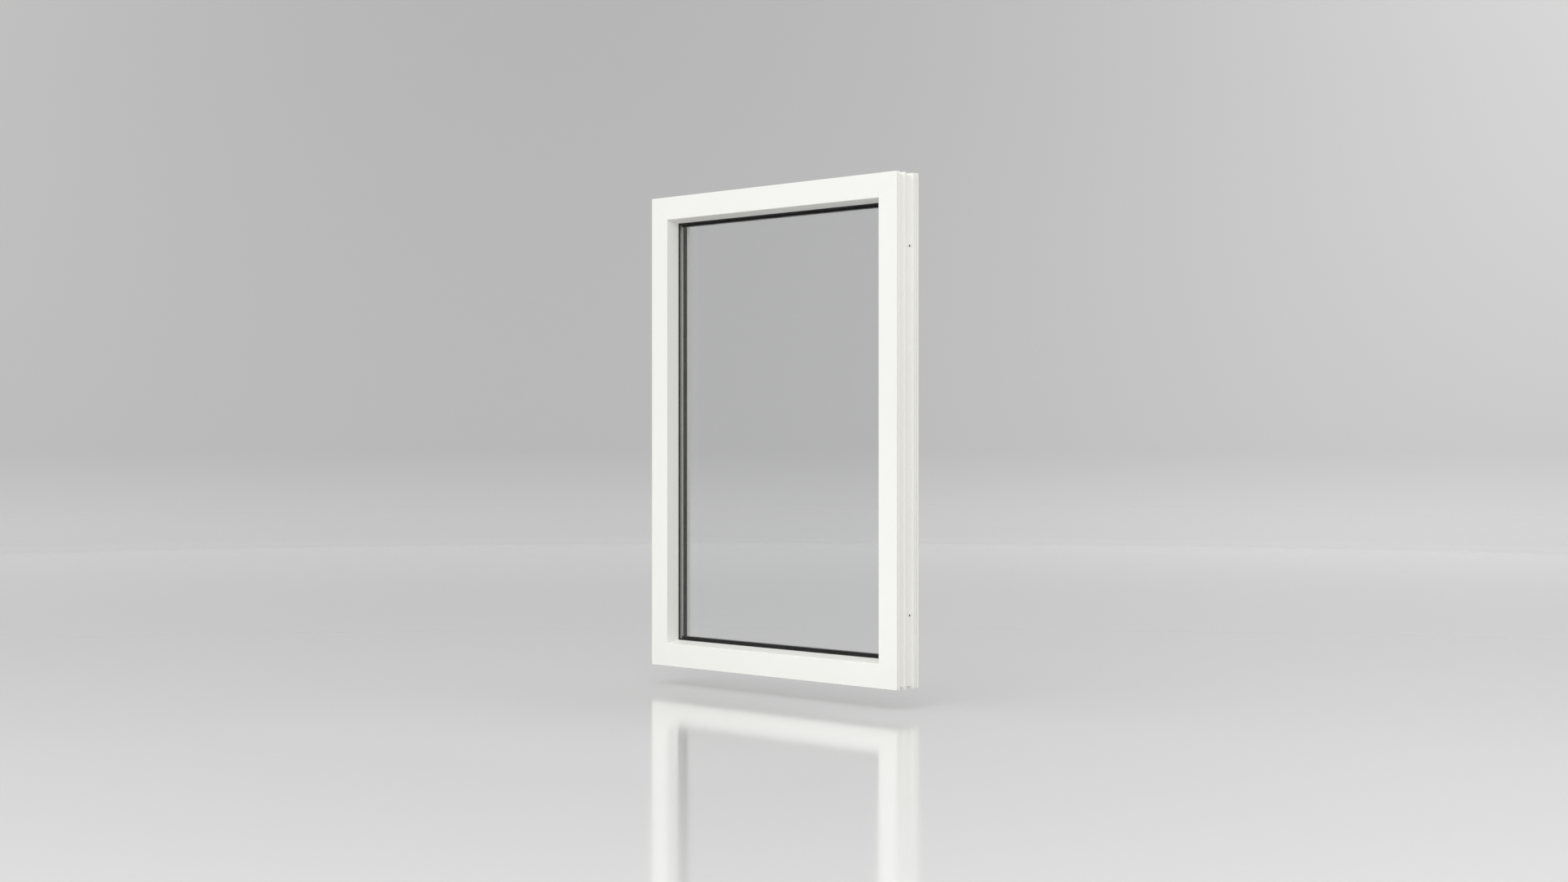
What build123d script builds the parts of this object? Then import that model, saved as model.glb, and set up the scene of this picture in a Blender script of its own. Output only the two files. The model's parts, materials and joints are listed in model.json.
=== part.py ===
from build123d import *
import os
from math import radians, sin, sqrt

# Concealed-sash casement window in white PVC, side hung and opening inwards.
#
# X runs to the right as seen from outdoors, Y runs from outdoors to indoors, Z is up.
# The origin is the middle of the sill's underside, on the middle rib of the frame's edge.
# Sections are drawn with two measures: the inset from the frame's outer edge, and the
# depth behind the outdoor face.

# ---- Overall sizes, mm ----
WIDTH = 850.0
HEIGHT = 1200.0
FRAME_DEPTH = 76.0
DATUM_DEPTH = 30.5            # depth of the middle rib, where Y is zero
MID_HEIGHT = HEIGHT / 2

# ---- Frame section: insets and depths ----
FLANGE_INSET = 57.5           # width of the flat outdoor face
REVEAL_INSET = 65.3           # where the splayed reveal ends
FLANGE_DEPTH = 33.3
FACE_ROUND = 2.0
WALL_INSET = 22.0             # rebate wall that faces the sash edge
LEDGE_DEPTH = 64.0            # ledge that the sash's overlap closes on
STEP_INSET = 12.0             # frame left visible indoors
SKIN = 2.5                    # outer wall of the profile
FRONT_WALL = 3.0              # wall of the flange, thicker than the rest
EDGE_ROUND = 0.6
STEP_ROUND = 1.0
CHAMBER_WEB = (29.0, 31.5)    # web between the two chambers behind the flange
REVEAL_CHAMBER = ((54.8, 3.0), (60.2, 26.5), (57.0, 30.3))
GASKET_GROOVE = (61.0, 63.0, 30.3)

# Grooves along the frame's outer edge: first depth, last depth, how deep they are cut
CLIP_GROOVE_CUT = 6.0
EDGE_GROOVES = (
    (2.0, 7.5, 2.5),
    (10.5, 28.0, CLIP_GROOVE_CUT),
    (33.0, 57.0, CLIP_GROOVE_CUT),
    (60.5, 66.5, 2.5),
    (68.5, 70.5, 1.5),
)

# ---- Sash section ----
SASH_INSET = 34.0
SASH_FRONT = 35.0
REBATE_INSET = 57.0           # wall that faces the glass edge
OVERLAP_INSET = 14.0
OVERLAP_FRONT = 66.0
BEAD_INSET = 68.4
BEAD_FRONT = 61.2
BEAD_FOOT = (66.8, 69.7, 3.2) # foot's first depth, last depth, length
BEAD_ROUND = 3.0
BEAD_CHAMBER = (58.8, 66.4, 63.2, 72.0)
FACEPLATE_GROOVE = (46.0, 62.0, 2.0)
ROD_GROOVE = (48.0, 60.0, 5.0)
SASH_CHAMBERS = ((42.0, 54.0, 38.0, 62.5), (37.0, 51.0, 65.0, 73.5))

# ---- Double glazing ----
PANE = 4.0
CAVITY = 16.0
GLASS_INSET = 60.0
SPACER_INSET = 66.9
SIGHT_LINE = 74.4             # inner edge of the spacer bar
GLASS_EDGE = 0.4              # ground edge of a pane
BLOCK_LENGTH = 100.0
BLOCK_FROM_END = 170.0
BLOCK_PLACES = (-250.0, 250.0)
BLOCK_DEPTHS = (43.0, 59.0)
BOND_DEPTHS = (36.0, 42.0)

# ---- Gaskets ----
GAP = 0.3                     # between parts that move past each other
GASKET_TIP = 69.3
GASKET_FOOT = (61.2, 62.8, 30.6)
GASKET_START = 60.5
BEAD_GASKET = (61.0, 72.0, 0.6)       # first inset, last inset, taper of the lip
OVERLAP_GASKET = (15.5, 20.0)

# ---- Steel inside the profiles: first inset, last inset, first depth, last depth ----
FRAME_STEEL = (8.8, 19.2, 44.0, 60.0)
SASH_STEEL = (42.4, 53.6, 38.4, 62.0)
STEEL_WALL = 1.5
STEEL_END = 70.0              # the bars stop this far from the frame's corners

# ---- Hinges ----
HINGE_HEIGHTS = {"lower": 180.0, "upper": 1020.0}
HINGE_INSET = 12.0
HINGE_DEPTH = 85.5
KNUCKLE_R = 6.0
KNUCKLE_LENGTH = 39.6
PIN_R = 3.0
PIN_RECESS = 0.6
RUNNING_FIT = 0.05
LEAF = 3.0
FRAME_LEAF = (1.0, 11.0, 60.0, 3.0)   # first inset, last inset, half height, corner radius
SASH_LEAF = (16.0, 52.0, 42.0, 6.0)
ARM_INSET = 19.0
WASHER = 0.6
WASHER_PLAY = 0.1
CAP = (3.0, 1.8)              # height, rounding

# ---- Handle and espagnolette ----
HANDLE_INSET = 44.5
SPINDLE = 7.0                 # square bar, across flats
NECK_R = 9.0
LEVER_DEPTHS = (99.0, 111.0)
LEVER_LENGTH = 98.0
LEVER_TIP_R = 7.5
LEVER_HEAD_R = 10.5
LEVER_ROUNDS = (2.0, 4.0)     # towards the sash, towards the room
HANDLE_SCREW_SPACING = 43.0
HANDLE_SCREW_R = 2.4
HANDLE_HEAD = (4.2, 2.6)      # radius, height
SPINDLE_HOLE_R = 5.6
ROSETTE = (25.0, 66.0, 9.5)   # width, height, thickness of the cover
ROSETTE_WALL = 1.6
ROSETTE_ROUNDS = (9.0, 2.0)   # corners, rim
BASE_PLATE = (21.0, 61.0, 7.0)        # width, height, corner radius
HUB_R = 5.9
HUB_PIVOT_R = 5.44
FINGER_WIDTH = 5.0
FINGER_R = 1.7
FINGER_REACH = 7.42           # finger tip's centre from the spindle axis
STROKE = FINGER_REACH * sqrt(2)
ROD = (36.0, 38.2)            # first and last inset of the drive rod
ROD_DEPTHS = (48.5, 59.5)
ROD_ENDS = (285.0, 915.0)
GEARBOX = (38.9, 52.6, 49.0, 59.0)
GEARBOX_HALF = 27.0
GEARBOX_WALL = 1.5
GEARBOX_POCKET = (35.0, 53.2, 48.7, 59.3)
STEEL_NOTCH = (41.0, 55.0, 47.0, 63.0)
FACEPLATE_DEPTHS = (46.3, 61.7)
FACEPLATE_ENDS = (130.0, 1070.0)
CAM_HEIGHTS = {"lower": 300.0, "upper": 900.0}
CAM_R = 4.0
CAM_STUD_R = 2.4
CAM_INSETS = (27.0, 33.2)
CAM_EDGE = 0.8
HARDWARE_DEPTH = 54.0         # centre line of rod, cams and keeps
KEEP_BASE = (24.0, 45.0, 63.0)        # last inset, first depth, last depth
KEEP_REACH = (14.0, 27.0)     # below and above its cam
KEEP_LIP = (31.5, 62.5)       # last inset, last depth
KEEP_LEAD_IN = 1.2

# ---- Fixings ----
THIN_SCREW = (1.8, 3.3, 1.2)  # shank radius, head radius, head height
HINGE_SCREW = (2.0, 3.8, 1.6)
KEEP_SCREW_OFFSETS = (-9.0, 22.0)
KEEP_SCREW_INSET = 12.0       # where its point ends
FACEPLATE_SCREW_HEIGHTS = (150.0, 230.0, 970.0, 1050.0)
FACEPLATE_SCREW_INSET = 46.0
FRAME_LEAF_SCREWS = (6.0, 24.0, (-52.0, 52.0))        # inset, length, offsets
SASH_LEAF_SCREWS = (44.0, 22.0, (-30.0, 0.0, 30.0))
HANDLE_SCREW_DEPTH = 51.0
WALL_FIXING_R = 3.1
WALL_FIXING_HEIGHTS = (170.0, 1030.0)
WALL_FIXING_DEPTH = 52.0
DRAIN_PLACES = (-250.0, 0.0, 250.0)
DRAIN_SLOT = (25.0, 5.0, 39.0)        # length, width, depth behind the face
CROSS = (4.4, 1.0, 1.3)       # length, width and depth of the recess in a screw's head

# Each side is the hinge side turned about the middle of the window: turn, and half the
# window's size across and along that side.
SIDES = {
    "hinge": (0, WIDTH / 2, HEIGHT / 2),
    "top": (90, HEIGHT / 2, WIDTH / 2),
    "lock": (180, WIDTH / 2, HEIGHT / 2),
    "bottom": (270, HEIGHT / 2, WIDTH / 2),
}


# ---- Helpers ----
def depth_y(depth):
    """Y of the plane at this depth behind the outdoor face."""
    return depth - DATUM_DEPTH


def section(points, rounds=()):
    """Closed outline through (inset, depth) points, with (point, radius) roundings."""
    outline = make_face(Polyline(*points, close=True))
    for point, radius in rounds:
        corner = outline.vertices().sort_by_distance((*point, 0))[0]
        outline = fillet(corner, radius=radius)
    return outline


def strip(first_inset, last_inset, first_depth, last_depth):
    """Rectangular section between two insets and two depths."""
    corners = (
        (first_inset, first_depth),
        (last_inset, first_depth),
        (last_inset, last_depth),
        (first_inset, last_depth),
    )
    return section(corners)


def turned(shape, side):
    """Carry a hinge-side shape to another side of the window."""
    return Pos(0, 0, MID_HEIGHT) * Rot(0, SIDES[side][0], 0) * shape


def mitred_bar(profile, side):
    """A length of profile along one side, mitred at both corners of the window."""
    _, across, along = SIDES[side]
    reach = profile.bounding_box().max.X
    bar = extrude(profile, amount=along, both=True)
    mitre = Plane.XZ * make_face(
        Polyline((0, along), (reach, along - reach), (reach, reach - along), (0, -along), close=True)
    )
    bar = bar & extrude(mitre, amount=2 * FRAME_DEPTH, both=True)
    return turned(Pos(-across, depth_y(0), 0) * bar, side)


def straight_bar(profile, side, end):
    """A length of profile along one side, cut square this far from the corners."""
    _, across, along = SIDES[side]
    bar = extrude(profile, amount=along - end, both=True)
    return turned(Pos(-across, depth_y(0), 0) * bar, side)


def ring(profile):
    """One closed ring of profile around the window."""
    loop = mitred_bar(profile, "hinge")
    for side in ("top", "lock", "bottom"):
        loop += mitred_bar(profile, side)
    return loop


def block(insets, depths, heights, side="hinge"):
    """A box on the hinge or lock side between two insets, two depths and two heights."""
    sign = -1 if side == "hinge" else 1
    edges = [sign * (WIDTH / 2 - inset) for inset in insets]
    size = (abs(insets[1] - insets[0]), depths[1] - depths[0], heights[1] - heights[0])
    middle = (sum(edges) / 2, depth_y(sum(depths) / 2), sum(heights) / 2)
    return Pos(*middle) * Box(*size)


def rod_along_x(radius, insets, depth, height, side="lock"):
    """A round bar across the frame's width, between two insets."""
    sign = -1 if side == "hinge" else 1
    edges = [sign * (WIDTH / 2 - inset) for inset in insets]
    bar = Rot(0, 90, 0) * Cylinder(radius, abs(insets[1] - insets[0]))
    return Pos(sum(edges) / 2, depth_y(depth), height) * bar


def rod_along_y(radius, x, depths, height):
    """A round bar from outdoors to indoors, between two depths."""
    bar = Rot(90, 0, 0) * Cylinder(radius, depths[1] - depths[0])
    return Pos(x, depth_y(sum(depths) / 2), height) * bar


def rod_along_z(radius, x, depth, heights):
    """An upright round bar between two heights."""
    bar = Cylinder(radius, heights[1] - heights[0])
    return Pos(x, depth_y(depth), sum(heights) / 2) * bar


def without(shape, tools):
    """The shape with every tool cut out of it."""
    for tool in tools:
        shape -= tool
    return shape


def together(shapes):
    """Separate solids kept in one node."""
    return Compound(children=[solid for shape in shapes for solid in shape.solids()])


# ---- Screws ----
def with_recess(screws, outward):
    """The screws with a cross recess in each head, which faces along this axis."""
    length, width, cut = CROSS
    cross = Box(length, width, 2 * cut) + Box(width, length, 2 * cut)
    recessed = []
    for screw in screws:
        face = screw.faces().sort_by(outward)[-1]
        recessed.append(screw - Plane(face.center(), z_dir=face.normal_at()) * cross)
    return recessed


def keep_screws():
    """Two screws through each keep into the frame's steel."""
    shank_r, head_r, head_height = THIN_SCREW
    outer = KEEP_BASE[0]
    screws = []
    for height in CAM_HEIGHTS.values():
        for offset in KEEP_SCREW_OFFSETS:
            shank = rod_along_x(shank_r, (KEEP_SCREW_INSET, outer), HARDWARE_DEPTH, height + offset)
            head = rod_along_x(head_r, (outer - head_height, outer), HARDWARE_DEPTH, height + offset)
            screws.append(shank + head)
    return screws


def faceplate_screws():
    """Four screws through the faceplate into the sash's steel, clear of the drive rod."""
    shank_r, head_r, head_height = THIN_SCREW
    screws = []
    for height in FACEPLATE_SCREW_HEIGHTS:
        shank = rod_along_x(shank_r, (SASH_INSET, FACEPLATE_SCREW_INSET), HARDWARE_DEPTH, height)
        head = rod_along_x(head_r, (SASH_INSET, SASH_INSET + head_height), HARDWARE_DEPTH, height)
        screws.append(shank + head)
    return screws


def hinge_x(inset):
    """X of this inset on the hinge side."""
    return inset - WIDTH / 2


def lock_x(inset):
    """X of this inset on the lock side."""
    return WIDTH / 2 - inset


def flush_screw(x, height, back, length):
    """Screw driven outwards from an indoor face, its flat head flush with that face."""
    shank_r, head_r, head_height = HINGE_SCREW
    shank = rod_along_y(shank_r, x, (back - length, back), height)
    head = rod_along_y(head_r, x, (back - head_height, back), height)
    return shank + head


def hinge_frame_screws():
    """Two screws per frame leaf, above and below the knuckles."""
    inset, length, offsets = FRAME_LEAF_SCREWS
    return [
        flush_screw(hinge_x(inset), centre + offset, FRAME_DEPTH + LEAF, length)
        for centre in HINGE_HEIGHTS.values()
        for offset in offsets
    ]


def hinge_sash_screws():
    """Three screws per sash leaf, into the sash's steel."""
    inset, length, offsets = SASH_LEAF_SCREWS
    return [
        flush_screw(hinge_x(inset), centre + offset, FRAME_DEPTH + LEAF, length)
        for centre in HINGE_HEIGHTS.values()
        for offset in offsets
    ]


def handle_screws():
    """Two screws through the handle's base plate into the gearbox lugs."""
    head_r, head_height = HANDLE_HEAD
    back = FRAME_DEPTH + LEAF
    screws = []
    for offset in (-HANDLE_SCREW_SPACING / 2, HANDLE_SCREW_SPACING / 2):
        x, height = lock_x(HANDLE_INSET), MID_HEIGHT + offset
        shank = rod_along_y(HANDLE_SCREW_R, x, (HANDLE_SCREW_DEPTH, back), height)
        head = rod_along_y(head_r, x, (back, back + head_height), height)
        screws.append(shank + head)
    return screws


# ---- Frame ----
def frame_profile():
    """Hollow frame section with its grooved outer edge and splayed outdoor reveal."""
    outline = section(
        (
            (0, 0),
            (FLANGE_INSET, 0),
            (REVEAL_INSET, FLANGE_DEPTH),
            (WALL_INSET, FLANGE_DEPTH),
            (WALL_INSET, LEDGE_DEPTH),
            (STEP_INSET, LEDGE_DEPTH),
            (STEP_INSET, FRAME_DEPTH),
            (0, FRAME_DEPTH),
        ),
        (
            ((0, 0), EDGE_ROUND),
            ((FLANGE_INSET, 0), FACE_ROUND),
            ((WALL_INSET, LEDGE_DEPTH), EDGE_ROUND),
            ((STEP_INSET, FRAME_DEPTH), STEP_ROUND),
            ((0, FRAME_DEPTH), EDGE_ROUND),
        ),
    )
    for first, last, cut in EDGE_GROOVES:
        outline -= strip(-1, cut, first, last)
    inner_side = CLIP_GROOVE_CUT + SKIN
    web_start, web_end = CHAMBER_WEB
    back = FLANGE_DEPTH - FRONT_WALL
    outline -= strip(inner_side, web_start, FRONT_WALL, back)
    outline -= section(((web_end, FRONT_WALL), *REVEAL_CHAMBER, (web_end, back)))
    outline -= strip(inner_side, WALL_INSET - SKIN, FLANGE_DEPTH + 0.5, LEDGE_DEPTH - SKIN)
    groove_start, groove_end, groove_depth = GASKET_GROOVE
    outline -= strip(groove_start, groove_end, groove_depth, FLANGE_DEPTH)
    return outline


def wall_fixing_holes():
    """Holes through both jambs for the frame fixings into the wall."""
    return [
        rod_along_x(WALL_FIXING_R, (0, WALL_INSET + 1), WALL_FIXING_DEPTH, height, side)
        for side in ("hinge", "lock")
        for height in WALL_FIXING_HEIGHTS
    ]


def drain_slots():
    """Slots that let water out of the rebate and down through the sill."""
    length, width, depth = DRAIN_SLOT
    return [
        Pos(place, depth_y(depth), WALL_INSET / 2) * Box(length, width, WALL_INSET + 2)
        for place in DRAIN_PLACES
    ]


def frame_members():
    """Head, sill and two jambs, mitred and welded at the corners."""
    profile = frame_profile()
    hinge_tools = wall_fixing_holes() + hinge_frame_screws()
    lock_tools = wall_fixing_holes() + keep_screws()
    return {
        "frame_head": mitred_bar(profile, "top"),
        "frame_sill": without(mitred_bar(profile, "bottom"), drain_slots()),
        "frame_hinge_jamb": without(mitred_bar(profile, "hinge"), hinge_tools),
        "frame_lock_jamb": without(mitred_bar(profile, "lock"), lock_tools),
    }


def steel_profile(first_inset, last_inset, first_depth, last_depth):
    """Rectangular steel tube."""
    tube = strip(first_inset, last_inset, first_depth, last_depth)
    wall = STEEL_WALL
    bore = strip(first_inset + wall, last_inset - wall, first_depth + wall, last_depth - wall)
    return tube - bore


def frame_steels():
    """Reinforcing tubes inside the frame's rebate wall."""
    profile = steel_profile(*FRAME_STEEL)
    tools = {
        "hinge": wall_fixing_holes() + hinge_frame_screws(),
        "lock": wall_fixing_holes() + keep_screws(),
    }
    names = {
        "top": "frame_head_steel",
        "bottom": "frame_sill_steel",
        "hinge": "frame_hinge_jamb_steel",
        "lock": "frame_lock_jamb_steel",
    }
    return {
        name: without(straight_bar(profile, side, STEEL_END), tools.get(side, []))
        for side, name in names.items()
    }


def frame_glass_gasket():
    """Outdoor gasket: a foot in the flange and a lip that closes on the glass."""
    lip = section(
        (
            (GASKET_START, FLANGE_DEPTH),
            (REVEAL_INSET, FLANGE_DEPTH),
            (GASKET_TIP - 0.4, FLANGE_DEPTH + 0.5),
            (GASKET_TIP, SASH_FRONT - GAP),
            (GASKET_START, SASH_FRONT - GAP),
        )
    )
    foot = strip(*GASKET_FOOT, FLANGE_DEPTH)
    return ring(lip + foot)


def keep(height):
    """Striker: a base plate with a lip that the cam slides behind when locked."""
    inner, first_depth, last_depth = KEEP_BASE
    below, above = KEEP_REACH
    base = block((WALL_INSET, inner), (first_depth, last_depth), (height - below, height + above), "lock")
    lip_end, lip_back = KEEP_LIP
    lip_front = HARDWARE_DEPTH + CAM_R + 0.5
    lip_heights = (height + CAM_R + 1.3, height + STROKE + CAM_R + 2)
    lip = block((inner, lip_end), (lip_front, lip_back), lip_heights, "lock")
    lead_in = lip.edges().filter_by(Axis.X).group_by(Axis.Z)[0].sort_by(Axis.Y)[0]
    lip = chamfer(lead_in, length=KEEP_LEAD_IN)
    return without(base + lip, keep_screws())


# ---- Hinges ----
def knuckle(centre, lower):
    """Barrel of one hinge half, with room for the washer between the halves."""
    start = centre - WASHER / 2 - KNUCKLE_LENGTH if lower else centre + WASHER / 2 + WASHER_PLAY
    return rod_along_z(KNUCKLE_R, hinge_x(HINGE_INSET), HINGE_DEPTH, (start, start + KNUCKLE_LENGTH))


def pin_bore(centre, radius):
    """Bore for the hinge pin through one knuckle."""
    reach = KNUCKLE_LENGTH + 2
    return rod_along_z(radius, hinge_x(HINGE_INSET), HINGE_DEPTH, (centre - reach, centre + reach))


def hinge_frame_leaf(centre):
    """Frame half: a narrow plate with the lower knuckle."""
    back = FRAME_DEPTH + LEAF
    first, last, half, corner = FRAME_LEAF
    plate = block((first, last), (FRAME_DEPTH, back), (centre - half, centre + half))
    plate = fillet(plate.edges().filter_by(Axis.Y), radius=corner)
    barrel = knuckle(centre, lower=True)
    bottom = centre - WASHER / 2 - KNUCKLE_LENGTH
    web = block((HINGE_INSET - KNUCKLE_R, HINGE_INSET), (back, HINGE_DEPTH), (bottom, centre - WASHER / 2))
    return without(plate + web + barrel - pin_bore(centre, PIN_R), hinge_frame_screws())


def hinge_sash_leaf(centre):
    """Sash half: a wide plate with the upper knuckle."""
    back = FRAME_DEPTH + LEAF
    first, last, half, corner = SASH_LEAF
    plate = block((first, last), (FRAME_DEPTH, back), (centre - half, centre + half))
    corners = plate.edges().filter_by(Axis.Y).sort_by(Axis.X)[-2:]
    plate = fillet(corners, radius=corner)
    barrel = knuckle(centre, lower=False)
    bottom = centre + WASHER / 2 + WASHER_PLAY
    arm = block((HINGE_INSET, ARM_INSET), (back, HINGE_DEPTH), (bottom, bottom + KNUCKLE_LENGTH))
    bore = pin_bore(centre, PIN_R + RUNNING_FIT)
    return without(plate + arm + barrel - bore, hinge_sash_screws())


def hinge_pin(centre):
    """Steel pin held in the frame knuckle."""
    reach = KNUCKLE_LENGTH - PIN_RECESS
    return rod_along_z(PIN_R, hinge_x(HINGE_INSET), HINGE_DEPTH, (centre - reach, centre + reach))


def hinge_washers():
    """Washers that carry the sash's weight between the knuckles."""
    washers = []
    for centre in HINGE_HEIGHTS.values():
        heights = (centre - WASHER / 2, centre + WASHER / 2)
        disc = rod_along_z(KNUCKLE_R, hinge_x(HINGE_INSET), HINGE_DEPTH, heights)
        washers.append(disc - pin_bore(centre, PIN_R))
    return washers


def hinge_caps(upper):
    """Plastic caps over the outer ends of the knuckles."""
    thick, rounding = CAP
    caps = []
    for centre in HINGE_HEIGHTS.values():
        top = centre + WASHER / 2 + WASHER_PLAY + KNUCKLE_LENGTH
        bottom = centre - WASHER / 2 - KNUCKLE_LENGTH
        heights = (top, top + thick) if upper else (bottom - thick, bottom)
        cap = rod_along_z(KNUCKLE_R, hinge_x(HINGE_INSET), HINGE_DEPTH, heights)
        rim = cap.edges().sort_by(Axis.Z)[-1 if upper else 0]
        caps.append(fillet(rim, radius=rounding))
    return caps


# ---- Sash ----
def sash_profile():
    """Hollow sash section with its hardware groove, overlap and bead groove."""
    outline = section(
        (
            (SASH_INSET, SASH_FRONT),
            (REBATE_INSET, SASH_FRONT),
            (REBATE_INSET, FRAME_DEPTH),
            (OVERLAP_INSET, FRAME_DEPTH),
            (OVERLAP_INSET, OVERLAP_FRONT),
            (SASH_INSET, OVERLAP_FRONT),
        ),
        (
            ((SASH_INSET, SASH_FRONT), STEP_ROUND),
            ((OVERLAP_INSET, FRAME_DEPTH), FACE_ROUND),
            ((OVERLAP_INSET, OVERLAP_FRONT), EDGE_ROUND),
        ),
    )
    for first, last, cut in (FACEPLATE_GROOVE, ROD_GROOVE):
        outline -= strip(SASH_INSET - 1, SASH_INSET + cut, first, last)
    foot_first, foot_last, foot_length = BEAD_FOOT
    outline -= strip(REBATE_INSET - foot_length, REBATE_INSET + 1, foot_first, foot_last)
    for chamber in SASH_CHAMBERS:
        outline -= strip(*chamber)
    return outline


def gearbox_pocket():
    """Room routed into the lock stile for the gearbox."""
    heights = (MID_HEIGHT - GEARBOX_HALF - 1, MID_HEIGHT + GEARBOX_HALF + 1)
    return block(GEARBOX_POCKET[:2], GEARBOX_POCKET[2:], heights, "lock")


def handle_holes():
    """Holes through the sash's indoor wall for the spindle and the handle screws."""
    x = lock_x(HANDLE_INSET)
    depths = (HANDLE_SCREW_DEPTH - 0.5, FRAME_DEPTH + LEAF)
    holes = [rod_along_y(SPINDLE_HOLE_R, x, depths, MID_HEIGHT)]
    for offset in (-HANDLE_SCREW_SPACING / 2, HANDLE_SCREW_SPACING / 2):
        holes.append(rod_along_y(HANDLE_SCREW_R, x, depths, MID_HEIGHT + offset))
    return holes


def sash_members():
    """Two rails and two stiles, mitred and welded at the corners."""
    profile = sash_profile()
    lock_tools = [gearbox_pocket()] + handle_holes() + faceplate_screws()
    return {
        "sash_top_rail": mitred_bar(profile, "top"),
        "sash_bottom_rail": mitred_bar(profile, "bottom"),
        "sash_hinge_stile": without(mitred_bar(profile, "hinge"), hinge_sash_screws()),
        "sash_lock_stile": without(mitred_bar(profile, "lock"), lock_tools),
    }


def sash_steels():
    """Reinforcing tubes inside the sash, notched at the gearbox."""
    profile = steel_profile(*SASH_STEEL)
    notch_heights = (MID_HEIGHT - GEARBOX_HALF - 3, MID_HEIGHT + GEARBOX_HALF + 3)
    notch = block(STEEL_NOTCH[:2], STEEL_NOTCH[2:], notch_heights, "lock")
    tools = {"hinge": hinge_sash_screws(), "lock": [notch] + faceplate_screws()}
    names = {
        "top": "sash_top_rail_steel",
        "bottom": "sash_bottom_rail_steel",
        "hinge": "sash_hinge_stile_steel",
        "lock": "sash_lock_stile_steel",
    }
    return {
        name: without(straight_bar(profile, side, STEEL_END), tools.get(side, []))
        for side, name in names.items()
    }


def bead_profile():
    """Glazing bead with a sloped, rounded indoor edge and a clip foot."""
    body = section(
        (
            (REBATE_INSET, BEAD_FRONT),
            (BEAD_INSET, BEAD_FRONT),
            (BEAD_INSET, FRAME_DEPTH),
            (REBATE_INSET, FRAME_DEPTH),
        ),
        (((BEAD_INSET, FRAME_DEPTH), BEAD_ROUND), ((BEAD_INSET, BEAD_FRONT), EDGE_ROUND)),
    )
    foot_first, foot_last, foot_length = BEAD_FOOT
    foot = strip(REBATE_INSET - foot_length + 0.4, REBATE_INSET, foot_first + 0.2, foot_last - 0.2)
    return body + foot - strip(*BEAD_CHAMBER)


def glazing_beads():
    """Four beads that hold the glass from indoors."""
    profile = bead_profile()
    return {
        "top_glazing_bead": mitred_bar(profile, "top"),
        "bottom_glazing_bead": mitred_bar(profile, "bottom"),
        "hinge_side_glazing_bead": mitred_bar(profile, "hinge"),
        "lock_side_glazing_bead": mitred_bar(profile, "lock"),
    }


def pane(first_depth):
    """One sheet of glass with ground edges."""
    size = (WIDTH - 2 * GLASS_INSET, PANE, HEIGHT - 2 * GLASS_INSET)
    sheet = Pos(0, depth_y(first_depth + PANE / 2), MID_HEIGHT) * Box(*size)
    return chamfer(sheet.edges().filter_by(Axis.X, reverse=True).filter_by(Axis.Z), length=GLASS_EDGE)


def setting_blocks():
    """Blocks that centre the glass in the sash and carry its weight."""
    blocks = []
    upright = (REBATE_INSET, GLASS_INSET)
    for height in (BLOCK_FROM_END, HEIGHT - BLOCK_FROM_END):
        heights = (height - BLOCK_LENGTH / 2, height + BLOCK_LENGTH / 2)
        blocks.append(block(upright, BLOCK_DEPTHS, heights, "hinge"))
        blocks.append(block(upright, BLOCK_DEPTHS, heights, "lock"))
    middle = depth_y(sum(BLOCK_DEPTHS) / 2)
    size = (BLOCK_LENGTH, BLOCK_DEPTHS[1] - BLOCK_DEPTHS[0], GLASS_INSET - REBATE_INSET)
    for place in BLOCK_PLACES:
        for level in (sum(upright) / 2, HEIGHT - sum(upright) / 2):
            blocks.append(Pos(place, middle, level) * Box(*size))
    return blocks


def bead_gasket_profile():
    """Gasket between bead and glass, with a tapered lip that shows past the bead."""
    start, tip, taper = BEAD_GASKET
    front = SASH_FRONT + 2 * PANE + CAVITY
    return section(((start, front), (tip, front), (tip - taper, BEAD_FRONT), (start, BEAD_FRONT)))


def double_glazing():
    """Two panes, the spacer bar and edge seal between them, and what holds them."""
    cavity = (SASH_FRONT + PANE, SASH_FRONT + PANE + CAVITY)
    return {
        "outdoor_pane": pane(SASH_FRONT),
        "indoor_pane": pane(cavity[1]),
        "spacer_bar": ring(strip(SPACER_INSET, SIGHT_LINE, *cavity)),
        "edge_seal": ring(strip(GLASS_INSET, SPACER_INSET, *cavity)),
        "glass_bond": ring(strip(REBATE_INSET, GLASS_INSET, *BOND_DEPTHS)),
        "setting_blocks": together(setting_blocks()),
        "bead_gasket": ring(bead_gasket_profile()),
        "sash_overlap_gasket": ring(strip(*OVERLAP_GASKET, LEDGE_DEPTH + GAP, OVERLAP_FRONT)),
    }


# ---- Espagnolette ----
def faceplate():
    """Steel strip let into the lock stile, slotted for the cams and the hub's finger."""
    plate = block((SASH_INSET, ROD[0] - GAP), FACEPLATE_DEPTHS, FACEPLATE_ENDS, "lock")
    for height in CAM_HEIGHTS.values():
        slot = (height - CAM_STUD_R - 0.6, height + STROKE + CAM_STUD_R + 0.6)
        plate -= block((33.0, 37.0), (HARDWARE_DEPTH - 3.0, HARDWARE_DEPTH + 3.0), slot, "lock")
    window = (MID_HEIGHT - 8.0, MID_HEIGHT + 8.0)
    plate -= block((33.0, 37.0), (HARDWARE_DEPTH - 3.5, HARDWARE_DEPTH + 3.5), window, "lock")
    return without(plate, faceplate_screws())


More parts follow.
